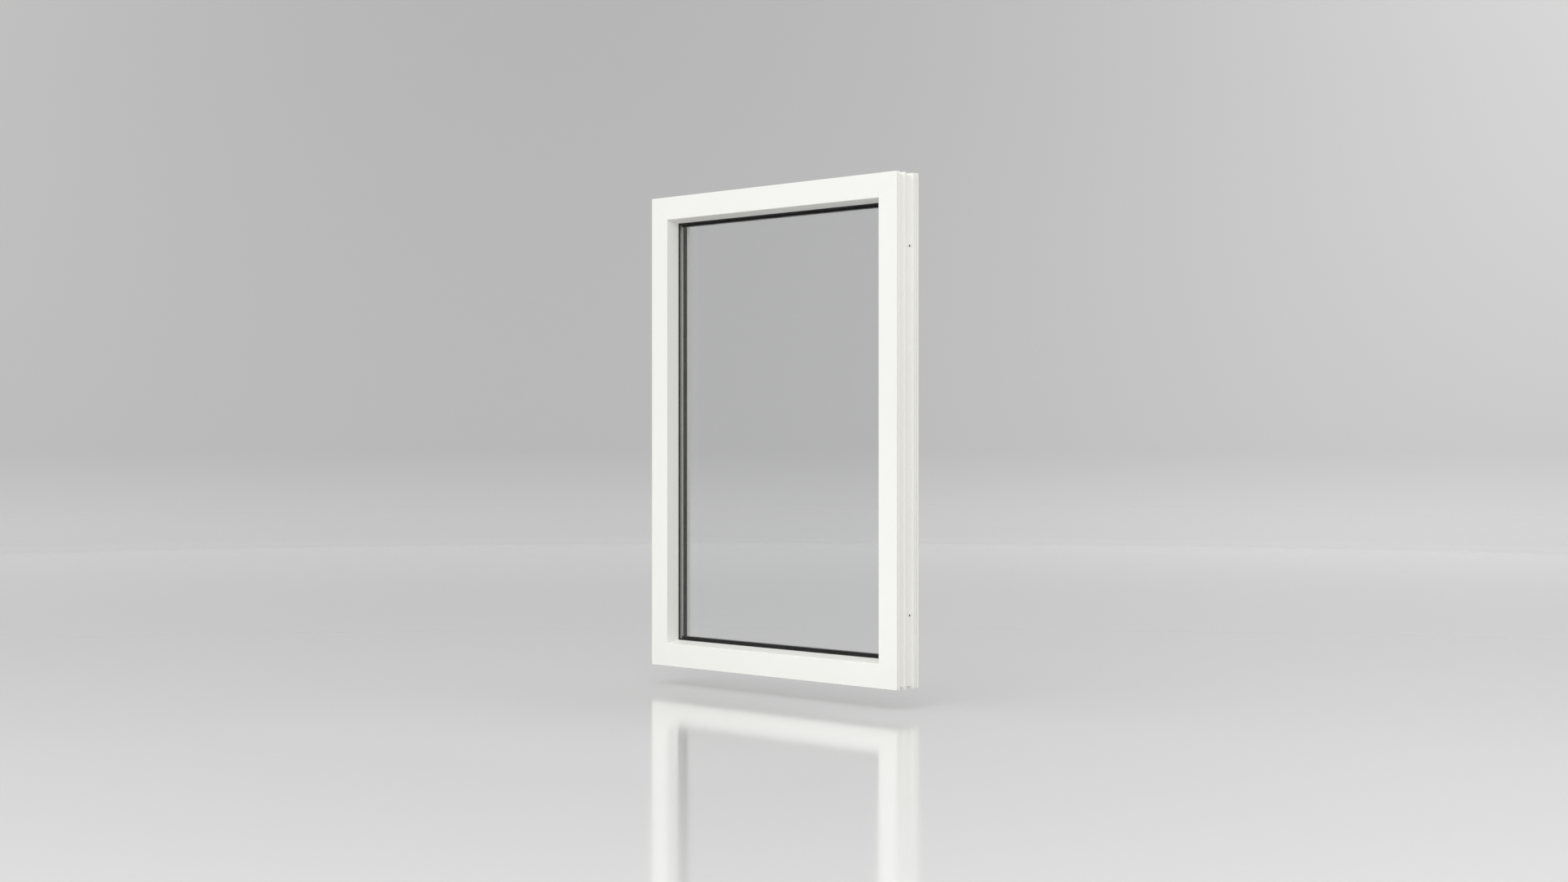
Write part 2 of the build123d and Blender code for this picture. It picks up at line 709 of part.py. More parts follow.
def drive_rod():
    """Flat bar behind the faceplate, notched for the hub's finger."""
    rod = block(ROD, ROD_DEPTHS, ROD_ENDS, "lock")
    notch_height = MID_HEIGHT - FINGER_REACH * sin(radians(45))
    play = FINGER_R + 0.65
    notch = (notch_height - play, notch_height + play)
    return rod - block((35.0, 39.0), (HARDWARE_DEPTH - 3.2, HARDWARE_DEPTH + 3.2), notch, "lock")


def locking_cam(height):
    """Mushroom cam on the drive rod: stud, roller and chamfered head."""
    stud = rod_along_x(CAM_STUD_R, (CAM_INSETS[1], ROD[0]), HARDWARE_DEPTH, height)
    roller = rod_along_x(CAM_R, CAM_INSETS, HARDWARE_DEPTH, height)
    head = roller.edges().filter_by(GeomType.CIRCLE).sort_by(Axis.X)[-1]
    return chamfer(head, length=CAM_EDGE) + stud


def gearbox_housing():
    """Case around the hub, with lugs for the handle screws."""
    x = lock_x(HANDLE_INSET)
    first_inset, last_inset, first_depth, last_depth = GEARBOX
    heights = (MID_HEIGHT - GEARBOX_HALF, MID_HEIGHT + GEARBOX_HALF)
    case = block((first_inset, last_inset), (first_depth, last_depth), heights, "lock")
    room = (first_depth + GEARBOX_WALL, last_depth - GEARBOX_WALL)
    case -= rod_along_y(HUB_R + GAP, x, room, MID_HEIGHT)
    sweep = (MID_HEIGHT - 9.0, MID_HEIGHT + 9.0)
    case -= block((first_inset - 1, HANDLE_INSET), room, sweep, "lock")
    case -= rod_along_y(HUB_PIVOT_R + 0.06, x, (first_depth - 1, last_depth + 1), MID_HEIGHT)
    return without(case, handle_screws())


def gearbox_hub():
    """Follower with a square hole for the spindle and a finger that drives the rod."""
    x = lock_x(HANDLE_INSET)
    first_depth, last_depth = GEARBOX[2:]
    inside = GEARBOX_WALL + GAP
    hub = rod_along_y(HUB_R, x, (first_depth + inside, last_depth - inside), MID_HEIGHT)
    hub += rod_along_y(HUB_PIVOT_R, x, (first_depth + GAP, last_depth - GAP), MID_HEIGHT)
    middle = Pos(FINGER_REACH / 2, 0, 0) * Box(FINGER_REACH, FINGER_WIDTH, 2 * FINGER_R)
    tip = Pos(FINGER_REACH, 0, 0) * Rot(90, 0, 0) * Cylinder(FINGER_R, FINGER_WIDTH)
    finger = Rot(0, 45, 0) * (middle + tip)
    hub += Pos(x, depth_y(HARDWARE_DEPTH), MID_HEIGHT) * finger
    return hub - spindle()


def spindle():
    """Square bar from the hub to the handle."""
    depths = (GEARBOX[2] + 0.6, LEVER_DEPTHS[0] - 3.0)
    middle = depth_y(sum(depths) / 2)
    bar = Box(SPINDLE, depths[1] - depths[0], SPINDLE)
    return Pos(lock_x(HANDLE_INSET), middle, MID_HEIGHT) * bar


# ---- Handle ----
def rosette_plate():
    """Base plate that the handle turns on."""
    back = FRAME_DEPTH + LEAF
    width, height, corner = BASE_PLATE
    insets = (HANDLE_INSET - width / 2, HANDLE_INSET + width / 2)
    heights = (MID_HEIGHT - height / 2, MID_HEIGHT + height / 2)
    plate = block(insets, (FRAME_DEPTH, back), heights, "lock")
    plate = fillet(plate.edges().filter_by(Axis.Y), radius=corner)
    return without(plate, handle_holes())


def rosette_cover():
    """Snap-on cover over the base plate and its screws."""
    width, height, thick = ROSETTE
    wall = ROSETTE_WALL
    corner, rim_round = ROSETTE_ROUNDS
    x = lock_x(HANDLE_INSET)
    shell = Pos(x, depth_y(FRAME_DEPTH + thick / 2), MID_HEIGHT) * Box(width, thick, height)
    shell = fillet(shell.edges().filter_by(Axis.Y), radius=corner)
    rim = shell.faces().sort_by(Axis.Y)[-1].edges()
    shell = fillet(rim, radius=rim_round)
    inside = Box(width - 2 * wall, thick - wall, height - 2 * wall)
    inside = fillet(inside.edges().filter_by(Axis.Y), radius=corner - wall)
    shell -= Pos(x, depth_y(FRAME_DEPTH + (thick - wall) / 2), MID_HEIGHT) * inside
    return shell - rod_along_y(NECK_R + GAP, x, (FRAME_DEPTH, FRAME_DEPTH + thick + 1), MID_HEIGHT)


def handle_lever():
    """Neck and tapered lever, pointing over the glass when the sash is unlocked."""
    first, last = LEVER_DEPTHS
    tip_x = -(LEVER_LENGTH - LEVER_TIP_R)
    slope = (LEVER_HEAD_R - LEVER_TIP_R) / -tip_x
    lean, rise = slope, sqrt(1 - slope**2)
    blade = Polyline(
        (-LEVER_HEAD_R * lean, LEVER_HEAD_R * rise),
        (tip_x - LEVER_TIP_R * lean, LEVER_TIP_R * rise),
        (tip_x - LEVER_TIP_R * lean, -LEVER_TIP_R * rise),
        (-LEVER_HEAD_R * lean, -LEVER_HEAD_R * rise),
        close=True,
    )
    outline = make_face(blade) + Circle(LEVER_HEAD_R) + Pos(tip_x, 0) * Circle(LEVER_TIP_R)
    lever = extrude(Plane.XZ * outline, amount=(last - first) / 2, both=True)
    lever = Pos(lock_x(HANDLE_INSET), depth_y((first + last) / 2), MID_HEIGHT) * lever
    lever = fillet(lever.faces().sort_by(Axis.Y)[-1].edges(), radius=LEVER_ROUNDS[1])
    lever = fillet(lever.faces().sort_by(Axis.Y)[0].edges(), radius=LEVER_ROUNDS[0])
    neck_depths = (FRAME_DEPTH + LEAF + GAP, first + 2.0)
    neck = rod_along_y(NECK_R, lock_x(HANDLE_INSET), neck_depths, MID_HEIGHT)
    return lever + neck - spindle()


# ---- All nodes ----
def all_parts():
    """Every node's name and solid."""
    parts = {}
    parts.update(frame_members())
    parts.update(frame_steels())
    parts["frame_glass_gasket"] = frame_glass_gasket()
    parts["keep_screws"] = together(with_recess(keep_screws(), Axis.X.reverse()))
    for name, height in CAM_HEIGHTS.items():
        parts[f"{name}_keep"] = keep(height)
        parts[f"{name}_locking_cam"] = locking_cam(height)
    for name, centre in HINGE_HEIGHTS.items():
        parts[f"{name}_hinge_frame_leaf"] = hinge_frame_leaf(centre)
        parts[f"{name}_hinge_sash_leaf"] = hinge_sash_leaf(centre)
        parts[f"{name}_hinge_pin"] = hinge_pin(centre)
    parts["hinge_washers"] = together(hinge_washers())
    parts["hinge_frame_screws"] = together(with_recess(hinge_frame_screws(), Axis.Y))
    parts["hinge_sash_screws"] = together(with_recess(hinge_sash_screws(), Axis.Y))
    parts["hinge_bottom_caps"] = together(hinge_caps(upper=False))
    parts["hinge_top_caps"] = together(hinge_caps(upper=True))
    parts.update(sash_members())
    parts.update(sash_steels())
    parts.update(glazing_beads())
    parts.update(double_glazing())
    parts["espagnolette_faceplate"] = faceplate()
    parts["faceplate_screws"] = together(with_recess(faceplate_screws(), Axis.X))
    parts["drive_rod"] = drive_rod()
    parts["gearbox_housing"] = gearbox_housing()
    parts["gearbox_hub"] = gearbox_hub()
    parts["handle_spindle"] = spindle()
    parts["handle_screws"] = together(with_recess(handle_screws(), Axis.Y))
    parts["rosette_plate"] = rosette_plate()
    parts["rosette_cover"] = rosette_cover()
    parts["handle_lever"] = handle_lever()
    return parts


os.makedirs("parts", exist_ok=True)
for node, shape in all_parts().items():
    export_step(shape, f"parts/{node}.step")
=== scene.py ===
"""Looks for the concealed-sash casement window: materials, studio and camera.

Every shape of the window is a CAD node; this script gives each one its finish.
Lengths are in metres.
"""

import json
import math

import bmesh
import bpy
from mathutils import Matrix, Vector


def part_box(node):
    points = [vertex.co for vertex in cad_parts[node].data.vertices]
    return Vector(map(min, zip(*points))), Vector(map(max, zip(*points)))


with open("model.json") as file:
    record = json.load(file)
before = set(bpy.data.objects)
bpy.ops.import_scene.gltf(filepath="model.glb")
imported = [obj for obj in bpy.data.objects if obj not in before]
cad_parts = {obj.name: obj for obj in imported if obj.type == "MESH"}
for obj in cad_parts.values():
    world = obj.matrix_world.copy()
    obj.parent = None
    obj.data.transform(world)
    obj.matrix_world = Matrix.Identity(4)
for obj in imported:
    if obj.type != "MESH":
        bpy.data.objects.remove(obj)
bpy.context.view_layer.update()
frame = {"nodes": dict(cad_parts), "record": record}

MM = 0.001

# ---- Places taken from the frame ----
HEAD_LOW, HEAD_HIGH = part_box("frame_head")
FRONT_Y = HEAD_LOW.y
HALF_WIDTH = HEAD_HIGH.x
TOP_Z = HEAD_HIGH.z
MIDDLE_Z = TOP_Z / 2
SPACER_LOW, SPACER_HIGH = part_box("spacer_bar")
SPACER_FRONT_Y = SPACER_LOW.y
SPACER_DEPTH = SPACER_HIGH.y - SPACER_LOW.y
SPACER_WIDTH = 7.5 * MM         # how far the bar reaches in from the edge seal
SPACER_INNER_X = SPACER_HIGH.x - SPACER_WIDTH
SPACER_MARGIN = 0.1 * MM        # so that the upright bars' own faces count as upright and get the painted light

# ---- Studio sizes ----
FLOOR_Z = -47 * MM              # the window floats this far above the floor
FLOOR_RINGS = (0.02 * MM, 2.0)  # radii inside the floor's edge
FLOOR_RADIUS = 8.0
COVE_RADIUS = 3.4
WALL_TOP = 4.6                  # above the floor
STUDIO_TURNS = 96
COVE_STEPS = 16
SKY = 0.72
CAMERA_RIGHT = 3.837            # from the middle of the outdoor face
CAMERA_BACK = 3.780             # in front of the outdoor face
CAMERA_Z = 0.5759
CAMERA_TURN = 45.0              # degrees
LENS = 50.59                    # millimetres
SENSOR = 36.0


# ---- Node helpers ----
class Look:
    """One material under construction: adds nodes and links them to a Principled shader."""

    def __init__(self, name):
        self.material = bpy.data.materials.new(name)
        self.material.use_nodes = True
        self.nodes = self.material.node_tree.nodes
        self.links = self.material.node_tree.links
        self.shader = self.nodes["Principled BSDF"]
        self.place = self.nodes.new("ShaderNodeTexCoord").outputs["Object"]

    def set(self, **values):
        """Set shader sockets that are the same all over the surface."""
        for name, value in values.items():
            self.shader.inputs[name.replace("_", " ")].default_value = value

    def join(self, source, node, socket):
        """Link an output, or set a plain value, on one of a node's inputs."""
        if isinstance(source, bpy.types.NodeSocket):
            self.links.new(source, node.inputs[socket])
        else:
            node.inputs[socket].default_value = source

    def math(self, operation, first, second=0.0, clamp=False):
        """One Math node."""
        node = self.nodes.new("ShaderNodeMath")
        node.operation = operation
        node.use_clamp = clamp
        self.join(first, node, 0)
        self.join(second, node, 1)
        return node.outputs[0]

    def axes(self):
        """The X, Y and Z of the point, in the window's own frame."""
        node = self.nodes.new("ShaderNodeSeparateXYZ")
        self.links.new(self.place, node.inputs[0])
        return node.outputs["X"], node.outputs["Y"], node.outputs["Z"]

    def stretched(self, scale):
        """The point's place, scaled by axis."""
        node = self.nodes.new("ShaderNodeMapping")
        self.links.new(self.place, node.inputs["Vector"])
        node.inputs["Scale"].default_value = scale
        return node.outputs["Vector"]

    def noise(self, scale, detail=2.0, roughness=0.5, place=None):
        """Smooth noise from 0 to 1, with features about 1/scale metres across."""
        node = self.nodes.new("ShaderNodeTexNoise")
        self.links.new(place or self.place, node.inputs["Vector"])
        node.inputs["Scale"].default_value = scale
        node.inputs["Detail"].default_value = detail
        node.inputs["Roughness"].default_value = roughness
        return node.outputs["Fac"]

    def cells(self, scale):
        """A random colour for each Voronoi cell, about 1/scale metres across."""
        node = self.nodes.new("ShaderNodeTexVoronoi")
        self.links.new(self.place, node.inputs["Vector"])
        node.inputs["Scale"].default_value = scale
        return node.outputs["Color"]

    def ramp(self, source, low, high, out_low=0.0, out_high=1.0, smooth=False):
        """Map low..high to out_low..out_high, clamped."""
        node = self.nodes.new("ShaderNodeMapRange")
        node.interpolation_type = "SMOOTHSTEP" if smooth else "LINEAR"
        self.join(source, node, "Value")
        self.join(low, node, "From Min")
        self.join(high, node, "From Max")
        self.join(out_low, node, "To Min")
        self.join(out_high, node, "To Max")
        return node.outputs["Result"]

    def blend(self, share, first, second):
        """Mix two colours."""
        node = self.nodes.new("ShaderNodeMix")
        node.data_type = "RGBA"
        self.join(share, node, 0)
        self.join(rgba(first), node, 6)
        self.join(rgba(second), node, 7)
        return node.outputs[2]

    def bump(self, height, depth, under=None):
        """Surface relief of this depth, on top of another relief."""
        node = self.nodes.new("ShaderNodeBump")
        node.inputs["Strength"].default_value = 1.0
        node.inputs["Distance"].default_value = depth
        self.links.new(height, node.inputs["Height"])
        if under is not None:
            self.links.new(under, node.inputs["Normal"])
        return node.outputs["Normal"]

    def soft_edge(self, radius):
        """Normals that round every sharp edge by this radius."""
        node = self.nodes.new("ShaderNodeBevel")
        node.samples = 4
        node.inputs["Radius"].default_value = radius
        return node.outputs["Normal"]

    def finish(self, colour=None, roughness=None, normal=None):
        """Link the finished colour, roughness and normal to the shader."""
        for source, socket in ((colour, "Base Color"), (roughness, "Roughness"), (normal, "Normal")):
            if source is not None:
                self.links.new(source, self.shader.inputs[socket])
        return self.material


def rgba(colour):
    """A colour as four numbers; a socket is left as it is."""
    if isinstance(colour, bpy.types.NodeSocket) or len(colour) == 4:
        return colour
    return (*colour, 1.0)


# ---- White PVC ----
PVC_WHITE = (0.888, 0.886, 0.850)
PVC_SHADE = (0.868, 0.866, 0.828)
PVC_SEAM = (0.80, 0.797, 0.765)
DUST = (0.60, 0.585, 0.55)
SEAM_HALF_WIDTH = 0.5 * MM
DIE_LINE_SCALE = (2.0, 900.0)   # along and across the profile


def corner_seam(look, half_width):
    """1 on the welded mitre joints, falling to 0 within half_width of them."""
    x, _, z = look.axes()
    from_side = look.math("SUBTRACT", HALF_WIDTH, look.math("ABSOLUTE", x))
    height = look.math("ABSOLUTE", look.math("SUBTRACT", z, MIDDLE_Z))
    from_end = look.math("SUBTRACT", MIDDLE_Z, height)
    off = look.math("ABSOLUTE", look.math("SUBTRACT", from_side, from_end))
    distance = look.math("MULTIPLY", off, math.sqrt(0.5))
    return look.ramp(distance, half_width * 0.5, half_width, 1.0, 0.0, smooth=True)


def pvc(name, run_axis):
    """Extruded white PVC: satin skin, faint die lines along the profile, milled weld seams."""
    look = Look(name)
    along, across = DIE_LINE_SCALE
    scale = (along, across, across) if run_axis == "X" else (across, across, along)
    die_lines = look.noise(1.0, detail=3.0, place=look.stretched(scale))
    waviness = look.noise(22.0, detail=2.0)
    tone = look.noise(2.6, detail=3.0, roughness=0.6)
    specks = look.ramp(look.noise(650.0, detail=1.0), 0.735, 0.79)
    seam = corner_seam(look, SEAM_HALF_WIDTH)

    colour = look.blend(look.ramp(tone, 0.3, 0.7), PVC_SHADE, PVC_WHITE)
    colour = look.blend(look.math("MULTIPLY", specks, 0.25), colour, DUST)
    colour = look.blend(look.math("MULTIPLY", seam, 0.30), colour, PVC_SEAM)

    rough = look.ramp(look.noise(55.0, detail=4.0), 0.25, 0.75, 0.42, 0.50)
    rough = look.math("ADD", rough, look.math("MULTIPLY", die_lines, 0.05))
    rough = look.math("ADD", rough, look.math("MULTIPLY", seam, 0.12), clamp=True)

    normal = look.bump(waviness, 0.10 * MM, look.soft_edge(0.35 * MM))
    normal = look.bump(die_lines, 0.006 * MM, normal)
    sunk = look.math("SUBTRACT", 1.0, seam)
    normal = look.bump(sunk, 0.03 * MM, normal)
    look.set(IOR=1.5, Specular_IOR_Level=0.3)
    return look.finish(colour, rough, normal)


# ---- Moulded and painted whites ----
COVER_WHITE = (0.872, 0.870, 0.842)
COVER_SHADE = (0.840, 0.838, 0.808)


def powder_coat():
    """White powder coat on the handle and hinges: fine orange peel, light rubbing."""
    look = Look("white_powder_coat")
    peel = look.noise(1100.0, detail=2.0)
    tone = look.noise(18.0, detail=3.0)
    rubbed = look.ramp(look.noise(60.0, detail=5.0, roughness=0.7), 0.5, 0.8)
    colour = look.blend(look.ramp(tone, 0.3, 0.7), COVER_SHADE, COVER_WHITE)
    rough = look.ramp(rubbed, 0.0, 1.0, 0.40, 0.26)
    normal = look.bump(peel, 0.02 * MM, look.soft_edge(0.3 * MM))
    look.set(IOR=1.5, Coat_Weight=0.15, Coat_Roughness=0.25)
    return look.finish(colour, rough, normal)


def moulded_white():
    """White moulded plastic covers: finer and glossier than the profile."""
    look = Look("white_moulded_plastic")
    grain = look.noise(1800.0, detail=2.0)
    tone = look.noise(25.0, detail=2.0)
    colour = look.blend(tone, COVER_SHADE, COVER_WHITE)
    rough = look.ramp(look.noise(90.0, detail=3.0), 0.3, 0.7, 0.24, 0.34)
    normal = look.bump(grain, 0.008 * MM, look.soft_edge(0.25 * MM))
    look.set(IOR=1.5)
    return look.finish(colour, rough, normal)


# ---- Rubber, sealant and glazing ----
def rubber(name, dark, light, low, high):
    """Extruded sealing rubber: matt, slightly dusty, with fine lines."""
    look = Look(name)
    dust = look.ramp(look.noise(120.0, detail=5.0, roughness=0.65), 0.45, 0.8)
    colour = look.blend(look.math("MULTIPLY", dust, 0.5), dark, light)
    rough = look.ramp(look.noise(300.0, detail=2.0), 0.3, 0.7, low, high)
    normal = look.bump(look.noise(2400.0, detail=2.0), 0.012 * MM, look.soft_edge(0.2 * MM))
    look.set(IOR=1.5)
    return look.finish(colour, rough, normal)


GLASS_TINT = (0.945, 0.951, 0.947)
GLASS_TINT_LIGHT = (0.951, 0.956, 0.953)
GLASS_SHADOW = (0.97, 0.975, 0.97)
GLASS_REFLECTION = (0.35, 0.35, 0.35)


def clear_glass():
    """Clear float glass with the faint green of its thickness and a little dust."""
    look = Look("clear_float_glass")
    dust = look.noise(900.0, detail=3.0, roughness=0.7)
    rough = look.ramp(dust, 0.62, 0.80, 0.0, 0.012)
    look.set(IOR=1.5, Transmission_Weight=1.0, Specular_Tint=rgba(GLASS_REFLECTION))
    tint = look.blend(look.noise(0.8, detail=1.0), GLASS_TINT, GLASS_TINT_LIGHT)
    look.finish(tint, rough)
    # Lamps shine straight through, as they do through a thin flat pane.
    nodes, links = look.nodes, look.links
    path = nodes.new("ShaderNodeLightPath")
    clear = nodes.new("ShaderNodeBsdfTransparent")
    clear.inputs["Color"].default_value = rgba(GLASS_SHADOW)
    mix = nodes.new("ShaderNodeMixShader")
    links.new(path.outputs["Is Shadow Ray"], mix.inputs["Fac"])
    links.new(look.shader.outputs[0], mix.inputs[1])
    links.new(clear.outputs[0], mix.inputs[2])
    links.new(mix.outputs[0], nodes["Material Output"].inputs["Surface"])
    return look.material


# Painted light: the lit grey of the upright spacer bars next to the outdoor pane
SPACER_PAINTED_LIGHT_GREY = (0.72, 0.72, 0.708)
SPACER_DARK = (0.040, 0.040, 0.040)
SPACER_DARK_LIGHT = (0.055, 0.055, 0.054)
HOLE_BLACK = (0.006, 0.006, 0.006)
PAINTED_LIGHT_WIDTH = 5.5 * MM         # painted light: width of the lit grey edge on the upright bars; the rest is dark
PAINTED_LIGHT_FADE = 2.0 * MM
HOLE_PITCH = 6.0 * MM
HOLE_R = 0.45 * MM


def spacer():
    """Warm-edge spacer: dark with a row of pin holes, with painted light as a lit grey strip on the
    upright bars towards the outdoor pane.
    """
    look = Look("warm_edge_spacer")
    x, y, z = look.axes()
    depth = look.math("SUBTRACT", y, SPACER_FRONT_Y)
    upright = look.math("GREATER_THAN", look.math("ABSOLUTE", x), SPACER_INNER_X - SPACER_MARGIN)
    # Painted light: a lit grey strip on the upright bars only, fading out with depth from the outdoor
    # pane
    grey = look.ramp(depth, PAINTED_LIGHT_WIDTH - PAINTED_LIGHT_FADE, PAINTED_LIGHT_WIDTH, 1.0, 0.0, smooth=True)
    grey = look.math("MULTIPLY", grey, upright)
    from_row = look.math("SUBTRACT", depth, SPACER_DEPTH / 2)
    step = look.math("DIVIDE", look.math("ADD", x, z), HOLE_PITCH)
    along = look.math("ABSOLUTE", look.math("SUBTRACT", look.math("FRACT", step), 0.5))
    along = look.math("MULTIPLY", along, HOLE_PITCH)
    squares = look.math(
        "ADD", look.math("MULTIPLY", from_row, from_row), look.math("MULTIPLY", along, along)
    )
    hole = look.ramp(look.math("SQRT", squares), HOLE_R, 1.4 * HOLE_R, 1.0, 0.0)
    tone = look.noise(70.0, detail=3.0)
    dark = look.blend(tone, SPACER_DARK, SPACER_DARK_LIGHT)
    colour = look.blend(grey, dark, SPACER_PAINTED_LIGHT_GREY)
    colour = look.blend(hole, colour, HOLE_BLACK)
    rough = look.ramp(tone, 0.3, 0.7, 0.42, 0.55)
    normal = look.bump(look.math("SUBTRACT", 1.0, hole), 0.2 * MM)
    return look.finish(colour, rough, normal)


def setting_block():
    """Packer plastic with a moulded grain."""
    look = Look("packer_plastic")
    tone = look.noise(60.0, detail=3.0)
    colour = look.blend(tone, (0.10, 0.16, 0.26), (0.14, 0.20, 0.31))
    rough = look.ramp(tone, 0.3, 0.7, 0.42, 0.55)
    normal = look.bump(look.noise(900.0), 0.03 * MM, look.soft_edge(0.3 * MM))
    return look.finish(colour, rough, normal)


# ---- Metals ----
def galvanised():
    """Hot-dip galvanised tube: crystal spangles of slightly different grey."""
    look = Look("galvanised_steel")
    spangle = look.cells(160.0)
    tone = look.nodes.new("ShaderNodeSeparateColor")
    look.links.new(spangle, tone.inputs[0])
    grey = tone.outputs[0]
    colour = look.blend(grey, (0.46, 0.47, 0.48), (0.66, 0.67, 0.68))
    rough = look.ramp(grey, 0.0, 1.0, 0.34, 0.56)
    normal = look.bump(look.noise(500.0), 0.01 * MM, look.soft_edge(0.3 * MM))
    look.set(Metallic=1.0)
    return look.finish(colour, rough, normal)


def zinc_plated():
    """Bright zinc plating with rolled-in lines and a faint warm and cool film."""
    look = Look("bright_zinc_plating")
    lines = look.noise(1.0, detail=4.0, place=look.stretched((1600.0, 1600.0, 40.0)))
    film = look.noise(90.0, detail=3.0)
    colour = look.blend(film, (0.66, 0.67, 0.70), (0.74, 0.73, 0.69))
    rough = look.ramp(lines, 0.3, 0.7, 0.22, 0.38)
    normal = look.bump(lines, 0.006 * MM, look.soft_edge(0.15 * MM))
    look.set(Metallic=1.0)
    return look.finish(colour, rough, normal)


def zinc_cast():
    """Satin die-cast zinc with a fine cast skin and polished high spots."""
    look = Look("die_cast_zinc")
    skin = look.noise(420.0, detail=4.0, roughness=0.6)
    stain = look.noise(70.0, detail=3.0)
    colour = look.blend(stain, (0.40, 0.41, 0.42), (0.56, 0.57, 0.58))
    rough = look.ramp(skin, 0.3, 0.7, 0.36, 0.52)
    normal = look.bump(skin, 0.03 * MM, look.soft_edge(0.3 * MM))
    look.set(Metallic=1.0)
    return look.finish(colour, rough, normal)


# ---- Finishes by material slot ----
def paint_nodes():
    """Give every CAD node the finish of its slot."""
    upright, level = pvc("white_pvc_upright", "Z"), pvc("white_pvc_level", "X")
    finishes = {
        "black_gasket": rubber("sealing_rubber", (0.007, 0.007, 0.007), (0.03, 0.03, 0.029), 0.60, 0.78),
        "sealant": rubber("edge_sealant", (0.012, 0.012, 0.012), (0.035, 0.035, 0.034), 0.5, 0.7),
        "clear_glass": clear_glass(),
        "dark_spacer": spacer(),
        "block_plastic": setting_block(),
        "galvanised_steel": galvanised(),
        "zinc_steel": zinc_plated(),
        "zinc_casting": zinc_cast(),
        "white_enamel": powder_coat(),
        "white_cover": moulded_white(),
    }
    for part in frame["record"]["subparts"]:
        node, slot = frame["nodes"][part["node"]], part["material_slot"]
        if slot == "white_pvc":
            low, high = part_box(part["node"])
            finish = upright if high.z - low.z > high.x - low.x else level
        else:
            finish = finishes[slot]
        for material_slot in node.material_slots:
            material_slot.material = finish


# ---- Studio ----
def revolved(name, profile):
    """Surface of revolution through (radius, height) points above the floor."""
    mesh = bmesh.new()
    rings = []
    for radius, height in profile:
        rings.append([
            mesh.verts.new((
                radius * math.cos(2 * math.pi * turn / STUDIO_TURNS),
                radius * math.sin(2 * math.pi * turn / STUDIO_TURNS),
                FLOOR_Z + height,
            ))
            for turn in range(STUDIO_TURNS)
        ])
    for inner, outer in zip(rings, rings[1:]):
        for turn in range(STUDIO_TURNS):
            after = (turn + 1) % STUDIO_TURNS
            mesh.faces.new((inner[turn], outer[turn], outer[after], inner[after]))
    data = bpy.data.meshes.new(name)
    mesh.to_mesh(data)
    mesh.free()
    data.polygons.foreach_set("use_smooth", [True] * len(data.polygons))
    surface = bpy.data.objects.new(name, data)
    bpy.context.scene.collection.objects.link(surface)
    return surface


def studio_bowl():
    """Round floor, and a wall that curves up from it and lets the sky's light in."""
    paint = bowl_paint()
    floor = revolved("studio_floor", [(radius, 0.0) for radius in (*FLOOR_RINGS, FLOOR_RADIUS)])
    cove = [(FLOOR_RADIUS, 0.0)]
    for step in range(1, COVE_STEPS + 1):
        angle = math.pi / 2 * step / COVE_STEPS
        cove.append((FLOOR_RADIUS + COVE_RADIUS * math.sin(angle), COVE_RADIUS * (1 - math.cos(angle))))
    cove.append((FLOOR_RADIUS + COVE_RADIUS, WALL_TOP))
    wall = revolved("studio_wall", cove)
    wall.visible_diffuse = False
    wall.visible_shadow = False
    for surface in (floor, wall):
        surface.data.materials.append(paint)


FLOOR_NEAR = (0.73, 0.73, 0.73)
FLOOR_FAR = (0.74, 0.74, 0.74)
# Painted shade: the wall's darker grey stands in for the shade on the upper wall
WALL_PAINTED_SHADE_GREY = (0.53, 0.53, 0.53)
FADE_START = 1.0              # distance out where the floor's tone starts to change
FADE_HEIGHT = 0.55            # height where floor paint has become wall paint with its painted shade


def bowl_paint():
    """Pale grey paint: a polished floor, and a duller wall with painted shade that makes it darker with
    height.
    """
    look = Look("studio_grey")
    x, y, z = look.axes()
    squares = look.math("ADD", look.math("MULTIPLY", x, x), look.math("MULTIPLY", y, y))
    outwards = look.ramp(look.math("SQRT", squares), FADE_START, FLOOR_RADIUS)
    floor = look.blend(outwards, FLOOR_NEAR, FLOOR_FAR)
    height = look.ramp(z, FLOOR_Z, FLOOR_Z + FADE_HEIGHT)
    # Painted shade: the colour turns to the wall's darker grey with height
    painted_shade_share = look.math("POWER", height, 0.6)
    colour = look.blend(painted_shade_share, floor, WALL_PAINTED_SHADE_GREY)
    rough = look.ramp(height, 0.0, 1.0, 0.10, 0.6)
    coat = look.ramp(height, 0.0, 1.0, 0.35, 0.0)
    look.join(coat, look.shader, "Coat Weight")
    look.set(Coat_Roughness=0.10)
    return look.finish(colour, rough)


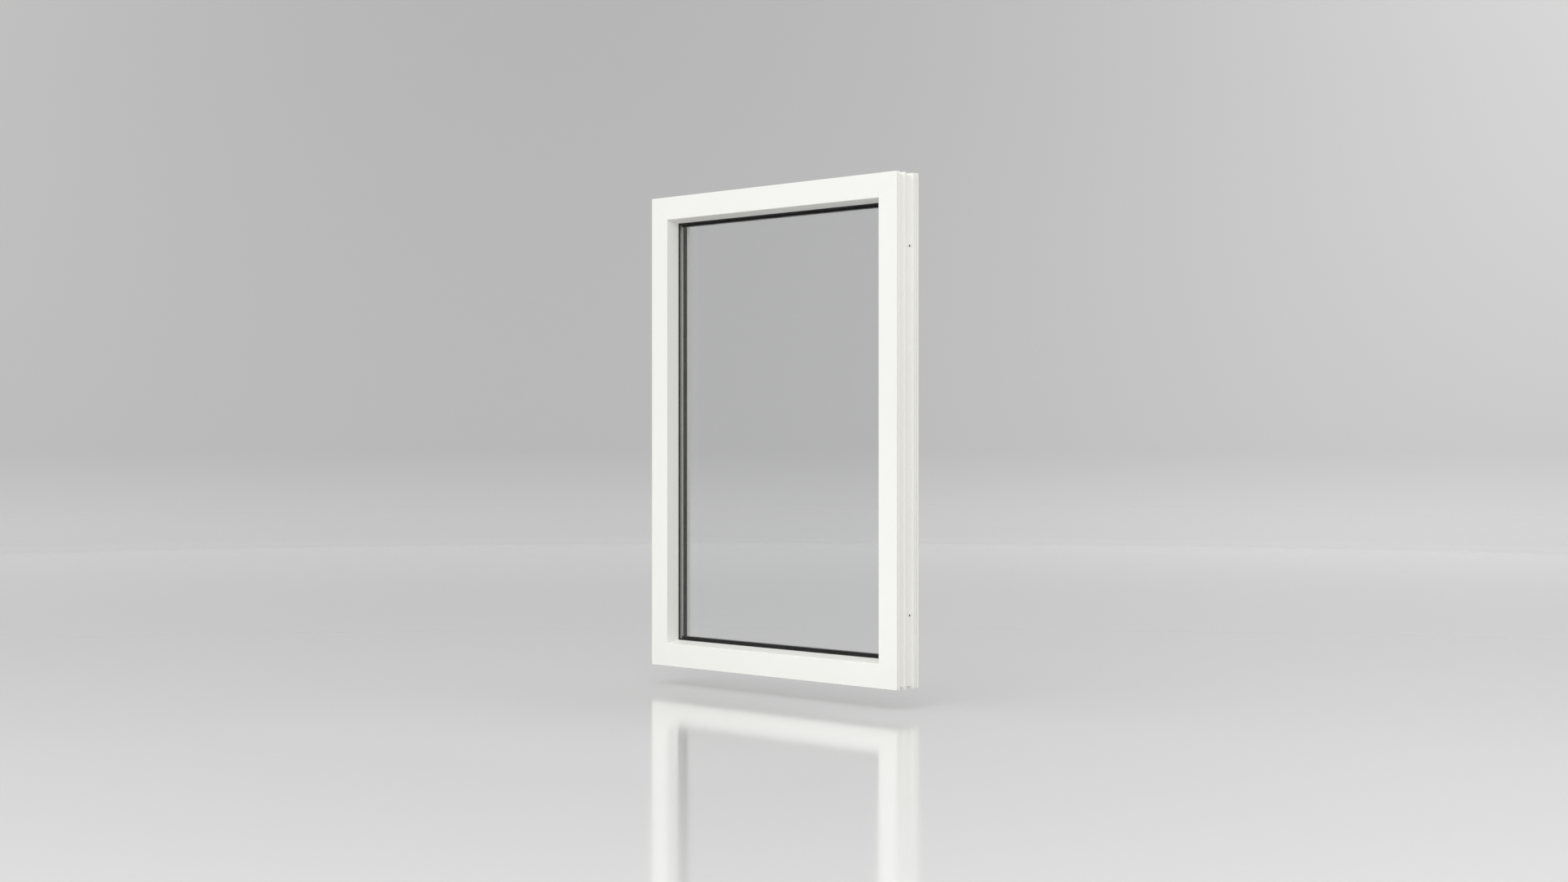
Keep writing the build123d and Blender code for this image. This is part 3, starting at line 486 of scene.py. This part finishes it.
def lamp(name, size, power, place, target, spread=180.0):
    """Rectangular soft light at a place, facing a target and never seen itself."""
    data = bpy.data.lights.new(name, "AREA")
    data.shape = "RECTANGLE"
    data.size, data.size_y = size
    data.energy = power
    data.spread = math.radians(spread)
    light = bpy.data.objects.new(name, data)
    light.location = place
    away = [a - b for a, b in zip(place, target)]
    light.rotation_mode = "QUATERNION"
    light.rotation_quaternion = Vector(away).to_track_quat("Z", "Y")
    light.visible_camera = False
    light.visible_glossy = False
    light.visible_transmission = False
    bpy.context.scene.collection.objects.link(light)


# Each lamp's width and height, power in watts, place, the point it faces, and any narrower spread
WINDOW = (0.0, 0.0, MIDDLE_Z)
LAMPS = {
    "front_light": ((6.0, 3.0), 158.0, (1.5, -6.6, 5.2), WINDOW),
    "right_front_light": ((3.4, 2.4), 56.0, (4.9, -4.9, 2.6), WINDOW),
    "side_light": ((3.4, 2.4), 22.0, (6.8, -0.4, 2.4), WINDOW),
    "top_light": ((7.0, 7.0), 112.0, (0.0, -1.0, 6.0), (0.0, -1.0, 0.0)),
    "low_front_light": ((1.4, 0.25), 0.48, (0.3, -1.4, 0.16), (0.0, FRONT_Y, 0.1), 70.0),
    "right_wall_light": ((5.0, 1.5), 82.0, (-1.6, 8.2, 4.4), (-3.8, 10.6, 2.3)),
    "left_wall_light": ((4.0, 1.5), 38.0, (-8.5, 0.5, 4.5), (-11.2, 2.0, 2.6)),
}


def studio_lights():
    """A pale sky, soft lamps in front, beside and above, and two that wash the wall."""
    for name, values in LAMPS.items():
        lamp(name, *values)
    world = bpy.data.worlds.new("pale_sky")
    world.use_nodes = True
    background = world.node_tree.nodes["Background"]
    background.inputs["Color"].default_value = (1.0, 1.0, 1.0, 1.0)
    background.inputs["Strength"].default_value = SKY
    bpy.context.scene.world = world


def camera():
    """Level camera off the window's front right corner."""
    data = bpy.data.cameras.new("camera")
    data.lens = LENS
    data.sensor_width = SENSOR
    view = bpy.data.objects.new("camera", data)
    view.location = (CAMERA_RIGHT, FRONT_Y - CAMERA_BACK, CAMERA_Z)
    view.rotation_euler = (math.pi / 2, 0, math.radians(CAMERA_TURN))
    bpy.context.scene.collection.objects.link(view)
    bpy.context.scene.camera = view


paint_nodes()
studio_bowl()
studio_lights()
camera()
bpy.context.scene.view_settings.view_transform = "Standard"
